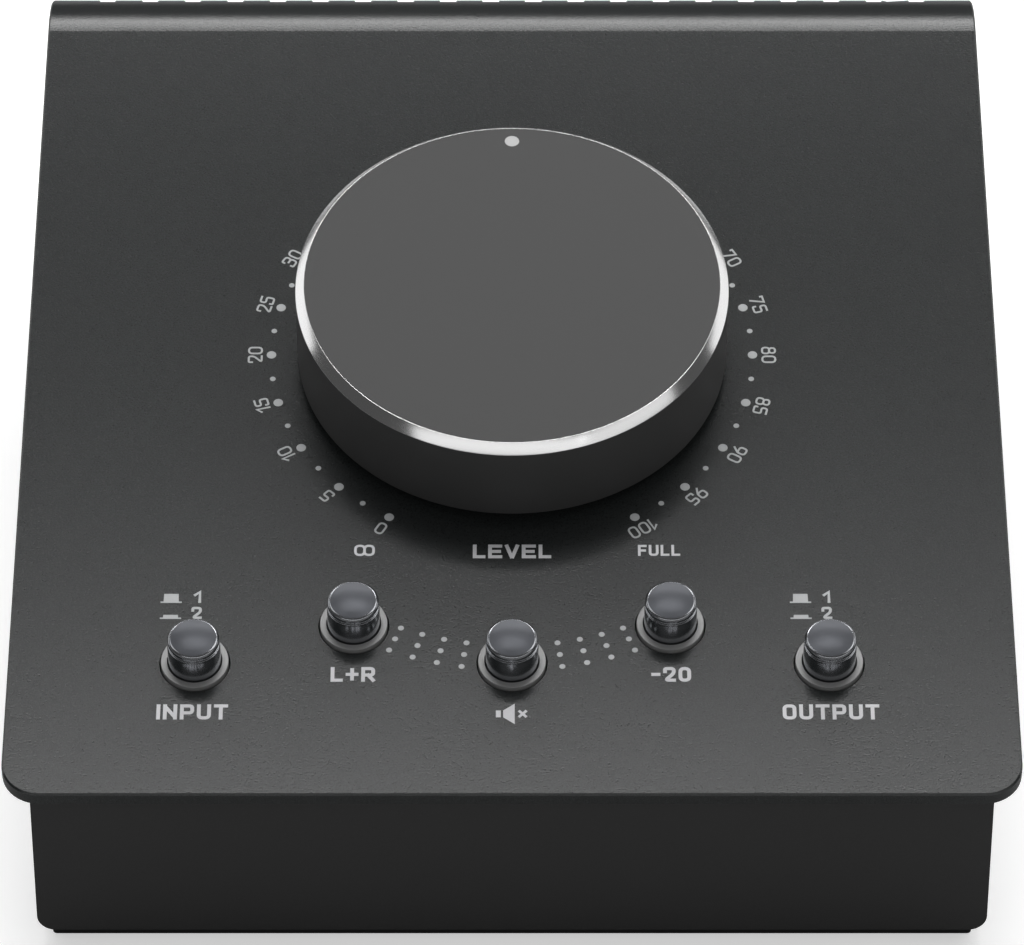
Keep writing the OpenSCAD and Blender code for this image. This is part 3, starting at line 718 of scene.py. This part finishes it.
def cap_zones(local):
    """1 for the satin crown, whose darker colour is painted shade, 0 for the polished rest."""
    return (local[:, 2] > CAP_TOP - CROWN - CROWN_PLAY).astype(int)


for button in BUTTONS:
    x, u, _ = panel_place(button + "_plunger")
    cap = turned(button + "_polished_cap", cap_profile(), (x, u, 0), segments=96, smooth_deg=35)
    # the crown gets the darker copy of the chrome: painted shade on the top of each cap
    paint_by(cap, [dark_chrome, satin_crown_painted_shade], cap_zones)
    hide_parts(button + "_cap")
    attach(cap, button + "_button")
    ring = turned_ring(button + "_satin_collar", collar_profile(), (x, u, 0))
    ring.data.materials.append(collar_metal)
    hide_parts(button + "_collar")
    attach(ring, "housing")
    print(button, "at x %.2f, u %.2f mm" % (x, u))

# %% [markdown]
# ## Strokes that become print
#
# The legends are screen printed: an even, slightly raised film of ink. Each sign is a few strokes
# of a pen with one width, so a sign is drawn as short polylines in a unit box, its corners are
# rounded, and each line is swept to a flat ribbon. This gives crisp edges at any zoom, and the
# shapes of the letters stay a plain round-cornered engineering script.

# %% Round the corners of a polyline
CURVE_STEPS = 7
CUT_SHARE = 0.49
SQUARE = [(0, 0), (1, 0), (1, 1), (0, 1)]


def directions(vectors):
    """Each row divided by its own length."""
    return vectors / np.linalg.norm(vectors, axis=1)[:, None]


def rounded(points, radius, closed):
    """Cuts each corner by a quadratic curve that starts and ends one radius from it, or just
    under half of a short side, so that two cuts never meet. All corners are done at once."""
    points = np.asarray(points, float)
    if radius == 0:
        return points
    before, after = np.roll(points, 1, 0), np.roll(points, -1, 0)
    to_before, to_after = before - points, after - points
    short = CUT_SHARE * np.minimum(np.linalg.norm(to_before, axis=1), np.linalg.norm(to_after, axis=1))
    cut = np.minimum(radius, short)[:, None]
    start = points + directions(to_before) * cut
    end = points + directions(to_after) * cut
    t = np.linspace(0, 1, CURVE_STEPS)[:, None, None]
    curve = (1 - t) ** 2 * start + 2 * t * (1 - t) * points + t ** 2 * end
    curve = curve.transpose(1, 0, 2)
    if closed:
        return curve.reshape(-1, 2)
    return np.concatenate([points[:1], curve[1:-1].reshape(-1, 2), points[-1:]])


print("a square with rounded corners has", len(rounded(SQUARE, 0.2, True)), "points")

# %% [markdown]
# ## Ink with a thickness
#
# The film of ink stands a fiftieth of a millimetre over the paint and reaches half as deep into
# it, so no gap can show, and as a closed solid it catches light on its edges as real ink does.
# Where two strokes of one sign cross, the later one stands a trace higher, because two faces in
# one plane show dark specks.

# %% Ribbons and filled patches of ink
INK = 0.02
STROKE_LIFT = 0.003
MITRE_LIMIT = 0.6


def ribbon(line, width, closed, lift=0.0):
    """A flat bar of ink along a line: at each point the two edges stand half a width to the
    left and right of the mean direction, stretched at corners so that the bar keeps its width.
    An open bar runs half a width past its ends, as a square pen does."""
    line = np.array(line, float)
    if not closed:
        line[[0, -1]] += directions(line[[0, -1]] - line[[1, -2]]) * width / 2
    ahead = np.roll(line, -1, 0) - line
    if not closed:
        ahead[-1] = ahead[-2]
    ahead = directions(ahead)
    behind = np.roll(ahead, 1, 0)
    if not closed:
        behind[0] = ahead[0]
    mean = directions(ahead + behind)
    stretch = 1 / np.clip((mean * ahead).sum(1), MITRE_LIMIT, 1)
    side = np.stack([-mean[:, 1], mean[:, 0]], 1) * (stretch * width / 2)[:, None]
    left, right = line + side, line - side
    low, high = np.full((len(line), 1), -INK / 2), np.full((len(line), 1), INK + lift)
    ring = np.stack([np.hstack([right, low]), np.hstack([left, low]),
                     np.hstack([left, high]), np.hstack([right, high])], 1)
    count = len(line)
    faces = grid_faces(count + 1, 4, True) % (4 * count) if closed else grid_faces(count, 4, True)
    faces = faces.tolist()
    if not closed:
        faces += [[3, 2, 1, 0], [4 * count - 4, 4 * count - 3, 4 * count - 2, 4 * count - 1]]
    return ring.reshape(-1, 3), faces


def plate(outline):
    """A filled patch of ink: the outline at the bottom and at the top, joined by its sides."""
    outline = np.asarray(outline, float)
    count = len(outline)
    low = np.hstack([outline, np.full((count, 1), -INK / 2)])
    high = np.hstack([outline, np.full((count, 1), INK)])
    k = np.arange(count)
    after = (k + 1) % count
    sides = np.stack([k, after, after + count, k + count], 1).tolist()
    return np.concatenate([low, high]), sides + [k[::-1].tolist(), (k + count).tolist()]


def merged(name, patches, material):
    """One printed piece from many patches, riding the case."""
    points, faces, start = [], [], 0
    for patch_points, patch_faces in patches:
        points.append(patch_points)
        faces += [[start + index for index in face] for face in patch_faces]
        start += len(patch_points)
    piece = make_object(name, on_panel(np.concatenate(points)), faces)
    piece.data.materials.append(material)
    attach(piece, "housing")
    print(name, "has", len(patches), "patches and", len(faces), "faces")
    return piece


print("a square patch has", len(plate(SQUARE)[1]), "faces")

# %% [markdown]
# ## The script
#
# A sign is a list of strokes: how round its corners are, whether it closes, and its few points in
# a box one wide and one high. Digits and capitals share the same habit: a rectangle with rounded
# corners wherever a book face would have a bowl.

# %% Signs as strokes in a unit box
SIGNS = {
    "0": [(0.5, True, SQUARE)],
    "1": [(0, False, [(0.1, 0.7), (0.62, 1), (0.62, 0)])],
    "2": [(0.4, False, [(0, 0.74), (0, 1), (1, 1), (1, 0.6), (0.04, 0), (1.02, 0)])],
    "3": [(0.4, False, [(0, 0.8), (0, 1), (1, 1), (1, 0.54), (0.35, 0.54)]),
          (0.4, False, [(0.35, 0.54), (1, 0.54), (1, 0), (0, 0), (0, 0.2)])],
    "4": [(0, False, [(0.55, 1), (0, 0.26), (1.05, 0.26)]), (0, False, [(0.75, 0.6), (0.75, 0)])],
    "5": [(0.3, False, [(0.95, 1), (0.06, 1), (0.06, 0.56), (1, 0.6), (1, 0), (0, 0), (0, 0.2)])],
    "6": [(0.4, True, [(0, 0), (1, 0), (1, 0.6), (0, 0.6)]),
          (0.3, False, [(0, 0.3), (0, 0.55), (0.6, 1)])],
    "7": [(0, False, [(0, 0.86), (0, 1), (1, 1), (0.35, 0)])],
    "8": [(0.4, True, [(0, 0), (1, 0), (1, 0.54), (0, 0.54)]),
          (0.4, True, [(0.08, 0.54), (0.92, 0.54), (0.92, 1), (0.08, 1)])],
    "9": [(0.4, True, [(0, 0.4), (1, 0.4), (1, 1), (0, 1)]),
          (0.3, False, [(1, 0.7), (1, 0.45), (0.4, 0)])],
    "E": [(0, False, [(1, 1), (0, 1), (0, 0), (1, 0)]), (0, False, [(0, 0.5), (0.88, 0.5)])],
    "F": [(0, False, [(1, 1), (0, 1), (0, 0)]), (0, False, [(0, 0.48), (0.88, 0.48)])],
    "I": [(0, False, [(0.5, 0), (0.5, 1)])],
    "L": [(0, False, [(0, 1), (0, 0), (1, 0)])],
    "N": [(0, False, [(0, 0), (0, 1)]), (0, False, [(0.1, 0.86), (0.9, 0.14)]),
          (0, False, [(1, 0), (1, 1)])],
    "O": [(0.4, True, SQUARE)],
    "P": [(0, False, [(0, 0), (0, 1)]), (0.3, False, [(0, 1), (1, 1), (1, 0.42), (0, 0.42)])],
    "R": [(0, False, [(0, 0), (0, 1)]), (0.3, False, [(0, 1), (1, 1), (1, 0.44), (0, 0.44)]),
          (0, False, [(0.5, 0.44), (1, 0)])],
    "T": [(0, False, [(0, 1), (1, 1)]), (0, False, [(0.5, 0), (0.5, 1)])],
    "U": [(0.4, False, [(0, 1), (0, 0), (1, 0), (1, 1)])],
    "V": [(0, False, [(0, 1), (0.45, 0)]), (0, False, [(1, 1), (0.55, 0)])],
    "+": [(0, False, [(0, 0.5), (1, 0.5)]), (0, False, [(0.5, 0.1), (0.5, 0.9)])],
    "-": [(0, False, [(0, 0.5), (1, 0.5)])],
}
# the width that a sign takes, where it isn't one
NARROW = {"I": 0.0, "1": 0.62, "-": 0.6, "L": 0.85, "F": 0.85, "+": 0.9}
print("signs:", "".join(sorted(SIGNS)))

# %% [markdown]
# ## Setting a word
#
# Each word has a box of a known size on the panel, so the word is fitted to it: pen widths and
# gaps come off first, and the signs share what is left.

# %% A word in a box
WORD_GAP = 0.36


def word(text, centre, width, height, pen, turn=0.0, gap=WORD_GAP):
    """A word in a box of the given outer size, in mm, turned clockwise about its centre by an
    angle in degrees. All signs share the width that is left after the pen and the gaps, in
    proportion to their own widths. A sign of one upright stroke is drawn in a full box, so that
    its stroke keeps its place."""
    share = np.array([NARROW.get(sign, 1.0) for sign in text])
    unit = (width - len(text) * pen - (len(text) - 1) * gap) / share.sum()
    step = share * unit + pen + gap
    left = -width / 2 + pen / 2 + np.concatenate([[0], np.cumsum(step)[:-1]])
    tall = height - pen
    a = math.radians(-turn)
    spin = np.array([[math.cos(a), math.sin(a)], [-math.sin(a), math.cos(a)]])
    patches = []
    for sign, start, part in zip(text, left, share):
        box = np.array([part * unit if sign not in "I1" else unit, tall])
        corner = np.array([start - (unit / 2 if sign == "I" else 0), -tall / 2])
        for k, (radius, closed, points) in enumerate(SIGNS[sign]):
            line = rounded(np.array(points) * box + corner, radius * min(unit, tall), closed)
            patches.append(ribbon(line @ spin + centre, pen, closed, lift=STROKE_LIFT * k))
    return patches


print("one word of two signs has", len(word("10", (0, 0), 3, 2, 0.3)), "strokes")

# %% [markdown]
# ## The dial's scale
#
# The scale runs from 0 to 100 over 300 degrees, the same travel as the knob's joint. A number
# stands at each fifth step with its top outwards, a big dot under it, and a small dot halfway
# between two numbers. The scale also runs on behind the knob, where the camera never sees it.

# %% Numbers and dots round the dial, in mm
NUMBER_R = 34.95
NUMBER_H = 2.03
DIGIT_W = 1.32
ONE_SAVES = 0.35
NUMBER_PEN = 0.27
NUMBER_GAP = 0.24
NUMBER_STEP = 5
DOT_R = 32.75
BIG_DOT = 1.3
SMALL_DOT = 0.78
BIG_SIDES = 20
SMALL_SIDES = 16
travel_deg = turn_joint["range_deg"][1] - turn_joint["range_deg"][0]
per_unit = travel_deg / 100


def polar(radius, clockwise):
    """A place on a circle round the dial, with the angle from twelve o'clock."""
    a = math.radians(clockwise)
    return np.array([radius * math.sin(a), radius * math.cos(a)])


def dot(place, diameter, sides):
    """A round patch of ink with its centre at a place."""
    a = np.linspace(0, 2 * np.pi, sides, endpoint=False)
    return plate(np.stack([np.cos(a), np.sin(a)], 1) * diameter / 2 + place)


numbers, dots = [], []
for value in range(0, 101, NUMBER_STEP):
    angle = -travel_deg / 2 + per_unit * value
    text = str(value)
    wide = len(text) * DIGIT_W + (len(text) - 1) * NUMBER_GAP - ONE_SAVES * text.count("1")
    numbers += word(text, polar(NUMBER_R, angle), wide, NUMBER_H, NUMBER_PEN, angle, NUMBER_GAP)
    dots.append(dot(polar(DOT_R, angle), BIG_DOT, BIG_SIDES))
    if value < 100:
        halfway = angle + per_unit * NUMBER_STEP / 2
        dots.append(dot(polar(DOT_R, halfway), SMALL_DOT, SMALL_SIDES))
merged("scale_numbers", numbers, scale_ink)
merged("scale_dots", dots, scale_ink)

# %% [markdown]
# ## Words and signs
#
# Plain technical words say what each control does. Two crossing rings stand for no sound at the
# scale's low end, and a small loudspeaker with a cross marks the mute button.

# %% Words, rings and the loudspeaker, in mm
WORD_PEN = 0.5
LEVEL_U = -34.2
ENDS_U = LEVEL_U + 0.18
WORD_LOW = -60.87
WORD_HIGH = -54.73
SMALL_PEN = 0.36
SMALL_GAP = 0.27
FULL_X = 19.52
RINGS_X = -19.58
RINGS_APART = 1.2
RING_W = 1.55
RING_H = 1.9
RING_PEN = 0.35
MUTE_U = -61.19
BUTTON_X = [panel_place(button + "_plunger")[0] for button in BUTTONS]
# text, centre x and u, width, height
WORDS = [
    ("INPUT", BUTTON_X[0] - 0.1, WORD_LOW, 9.3, 2.45),
    ("L+R", BUTTON_X[1], WORD_HIGH, 5.8, 2.4),
    ("-20", BUTTON_X[3], WORD_HIGH, 5.2, 2.4),
    ("OUTPUT", BUTTON_X[4], WORD_LOW, 12.6, 2.45),
    ("LEVEL", 0, LEVEL_U, 10.4, 2.3),
]


def loop(centre, width, height, pen, lift):
    """One ring of the sign for no sound; lift keeps two crossing rings out of one plane."""
    box = np.array([width - pen, height - pen])
    line = rounded((np.array(SQUARE) - 0.5) * box + centre, 0.5 * box.min(), True)
    return ribbon(line, pen, True, lift)


words = []
for text, x, u, width, height in WORDS:
    words += word(text, (x, u), width, height, WORD_PEN)
words += word("FULL", (FULL_X, ENDS_U), 5.6, 1.85, SMALL_PEN, gap=SMALL_GAP)
for k, side in enumerate((-1, 1)):
    place = (RINGS_X + side * RINGS_APART / 2, ENDS_U)
    words.append(loop(place, RING_W, RING_H, RING_PEN, STROKE_LIFT * k))
magnet = np.array([(-2.1, -0.55), (-1.45, -0.55), (-1.45, 0.55), (-2.1, 0.55)])
horn = np.array([(-1.15, -0.55), (0.35, -1.65), (0.35, 1.65), (-1.15, 0.55)])
words += [plate(part + (0, MUTE_U)) for part in (magnet, horn)]
for k, rise in enumerate((-1, 1)):
    stroke = np.array([(1.0, -0.4 * rise), (1.77, 0.4 * rise)]) + (0, MUTE_U)
    words.append(ribbon(stroke, SMALL_PEN, False, lift=STROKE_LIFT * k))
merged("legends", words, word_ink)

# %% [markdown]
# ## Marks of the two selectors
#
# A selector's button stands out for 1 and in for 2. A bar with a tall block on it and a bar with
# a flat one say so without words, as on many instruments.

# %% Numbers and switch marks, in mm
SIDE_PEN = 0.38
SIDE_H = 2.0
NUMBER_X = -0.05
SIGN_X = -2.05
BAR_W = 2.8
BAR_H = 0.22
BLOCK_INSET = 0.4
BLOCK_LEAN = 0.05
# number, u and width
SIDE_NUMBERS = [("1", -41.87, 1.1), ("2", -44.54, 1.38)]
# u of the sign's foot and height of its block: tall for the button out, flat for the button in
SIDE_SIGNS = [(-42.87, 1.28), (-45.55, 0.45)]


def switch_sign(right, foot, block):
    """A base bar with a block on it, whose sides lean in a little."""
    left, top = right - BAR_W, foot + BAR_H
    bar = [(left, foot), (right, foot), (right, top), (left, top)]
    left, right = left + BLOCK_INSET, right - BLOCK_INSET
    body = [(left, top), (right, top), (right - BLOCK_LEAN, top + block),
            (left + BLOCK_LEAN, top + block)]
    return [plate(bar), plate(body)]


marks = []
for x in (BUTTON_X[0], BUTTON_X[4]):
    for number, u, width in SIDE_NUMBERS:
        marks += word(number, (x + NUMBER_X, u), width, SIDE_H, SIDE_PEN)
    for foot, block in SIDE_SIGNS:
        marks += switch_sign(x + SIGN_X, foot, block)
merged("switch_marks", marks, scale_ink)

# %% [markdown]
# ## The field of dots
#
# Three arcs of dots link the lower button row. They share a centre below the dial's, and leave
# a gap where the middle button stands.

# %% Dots between the lower buttons, in mm
FIELD_U = -12.1
FIELD_RADII = [37.9, 39.85, 41.85]
FIELD_STEP_DEG = 4.53
FIELD_COLUMNS = (2, 3, 4, 5)
FIELD_DOT = 0.8
field = [dot(polar(radius, 180 + side * FIELD_STEP_DEG * k) + (0, FIELD_U), FIELD_DOT, SMALL_SIDES)
         for radius in FIELD_RADII for side in (-1, 1) for k in FIELD_COLUMNS]
merged("dot_field", field, scale_ink)

# %% [markdown]
# ## Camera
#
# The picture was taken with a long lens from straight in front and well above, so edges that run
# away from the viewer converge only a little. The lens follows from the focal length in picture
# pixels, which is what solving a camera from straight edges gives. Its place is measured from the
# dial's centre.

# %% Camera
FOCAL_PX = 6281
IMAGE_W = 1024
SENSOR = 36.0
# metres from the dial's centre, and degrees below the horizon
EYE_BACK = 0.6810
EYE_UP = 0.5178
LOOK_DOWN = 38.32

camera_data = bpy.data.cameras.new("camera")
camera_data.sensor_width = SENSOR
camera_data.lens = FOCAL_PX / IMAGE_W * SENSOR
camera_data.clip_start = 0.05
camera = bpy.data.objects.new("camera", camera_data)
camera.location = (0, DIAL[1] - EYE_BACK, DIAL[2] + EYE_UP)
camera.rotation_euler = (math.radians(90 - LOOK_DOWN), 0, 0)
bpy.context.scene.collection.objects.link(camera)
bpy.context.scene.camera = camera
print("lens %.1f mm" % camera_data.lens)

# %% [markdown]
# ## Floor
#
# The ground is a sheet of white paper. Lit by the lamps alone it would come out grey, and more
# lamp light would burn out the object, so the paper glows for the camera and for nothing else.
# It still takes the object's shadow. In reflections the paper is greyer, because the real bevel
# and caps show dark bands.

# %% Floor
PAPER = "#e6e6e6"
PAPER_IN_MIRRORS = "#8c8c8c"
# metres from the middle of the box's foot, and the glow there, where 1 is white
NEAR = 0.4
FAR = 1.2
GLOW_NEAR = 0.48
GLOW_FAR = 1.0
FLOOR_HALF = 3.0
# a tenth of a millimetre under the pad, so that the two faces don't share one plane
FLOOR_Z = -0.1 * MM


def floor_material():
    """Diffuse paper plus a glow for camera rays only, which grows with the distance from the
    box, where the lamps fall off. Mirrors see a greyer paper."""
    material, tree, output = new_material("paper_white")
    path = add(tree, "ShaderNodeLightPath")
    away = add(tree, "ShaderNodeVectorMath", {"operation": "LENGTH"}, i0=object_coords(tree))
    strength = add(tree, "ShaderNodeMapRange", Value=away.outputs["Value"], From_Min=NEAR,
                   From_Max=FAR, To_Min=GLOW_NEAR, To_Max=GLOW_FAR)
    glow = add(tree, "ShaderNodeMath", {"operation": "MULTIPLY"},
               i0=path.outputs["Is Camera Ray"], i1=strength.outputs[0])
    tone = add(tree, "ShaderNodeMix", {"data_type": "RGBA"}, Factor=path.outputs["Is Glossy Ray"],
               A=linear(PAPER), B=linear(PAPER_IN_MIRRORS))
    paper = add(tree, "ShaderNodeBsdfDiffuse", Color=tone.outputs["Result"])
    light = add(tree, "ShaderNodeEmission", Color=(1, 1, 1, 1), Strength=glow.outputs[0])
    both = add(tree, "ShaderNodeAddShader", i0=paper.outputs[0], i1=light.outputs[0])
    finish_surface(tree, output, both)
    return material


corners = [(x * FLOOR_HALF, y * FLOOR_HALF, FLOOR_Z) for x, y in ((-1, -1), (1, -1), (1, 1), (-1, 1))]
floor = make_object("floor", corners, [(0, 1, 2, 3)])
floor.data.materials.append(floor_material())
print("floor %.0f m wide" % (2 * FLOOR_HALF))

# %% [markdown]
# ## Lamps
#
# The light is soft: eight rectangles, as soft boxes are. A long strip stands high behind the box,
# so the rounded rear bend lights up as one band and the shadows of knob and buttons fall towards
# the viewer. One hangs overhead, two stand high at the sides, and four low ones fill from the
# front and the sides and are mirrored in the bevel and the caps.

# %% Lamps
def soft_box(name, elevation, azimuth, distance, size, radiance):
    """A rectangular area light aimed at the dial. Azimuth 0 is behind the box, 90 to the
    right. The power that gives a wanted radiance is pi times the area times that radiance."""
    data = bpy.data.lights.new(name, "AREA")
    data.shape = "RECTANGLE"
    data.size, data.size_y = size
    data.energy = math.pi * size[0] * size[1] * radiance
    lamp = bpy.data.objects.new(name, data)
    e, a = math.radians(elevation), math.radians(azimuth)
    away = np.array([math.sin(a) * math.cos(e), math.cos(a) * math.cos(e), math.sin(e)])
    lamp.location = (DIAL + away * distance).tolist()
    lamp.rotation_euler = (math.radians(90 - elevation), 0, math.pi - a)
    bpy.context.scene.collection.objects.link(lamp)
    return lamp


# name, elevation and azimuth in degrees, distance and size in metres, radiance
SOFT_BOXES = [
    ("strip_behind", 43, 0, 1.3, (1.4, 0.3), 6.8),
    ("overhead", 79.5, 0, 1.2, (0.8, 0.337), 6.9),
    ("high_left", 50, -75, 1.4, (0.8, 0.8), 0.8),
    ("high_right", 50, 75, 1.4, (0.8, 0.8), 1.4),
    ("low_front", 27, 186, 1.5, (2.0, 0.36), 0.9),
    ("low_front_right", 24, 127, 1.5, (1.15, 0.36), 0.75),
    ("low_left", 8, -52, 1.5, (1.4, 0.48), 0.95),
    ("low_right", 8, 52, 1.5, (1.4, 0.48), 0.9),
]
lamps = [soft_box(*settings) for settings in SOFT_BOXES]
print("lamps:", len(lamps), "with %.1f W in all" % sum(lamp.data.energy for lamp in lamps))

# %% [markdown]
# ## World
#
# The sky is white for the camera, a dim even fill for the object, and darker still in
# reflections, as in a dark studio.

# %% World
SKY_FILL = 0.19
SKY_IN_MIRRORS = 0.07

world = bpy.data.worlds.new("studio")
bpy.context.scene.world = world
world.use_nodes = True
sky = world.node_tree
sky.nodes.clear()
ray = add(sky, "ShaderNodeLightPath")
seen = add(sky, "ShaderNodeMapRange", Value=ray.outputs["Is Camera Ray"], To_Min=SKY_FILL,
           To_Max=1.0)
level = add(sky, "ShaderNodeMath", {"operation": "MULTIPLY_ADD"}, i0=ray.outputs["Is Glossy Ray"],
            i1=SKY_IN_MIRRORS - SKY_FILL, i2=seen.outputs[0])
dome = add(sky, "ShaderNodeBackground", Color=(1, 1, 1, 1), Strength=level.outputs[0])
sky.links.new(dome.outputs[0], sky.nodes.new("ShaderNodeOutputWorld").inputs[0])

bpy.context.scene.view_settings.view_transform = "Standard"
print("studio ready")
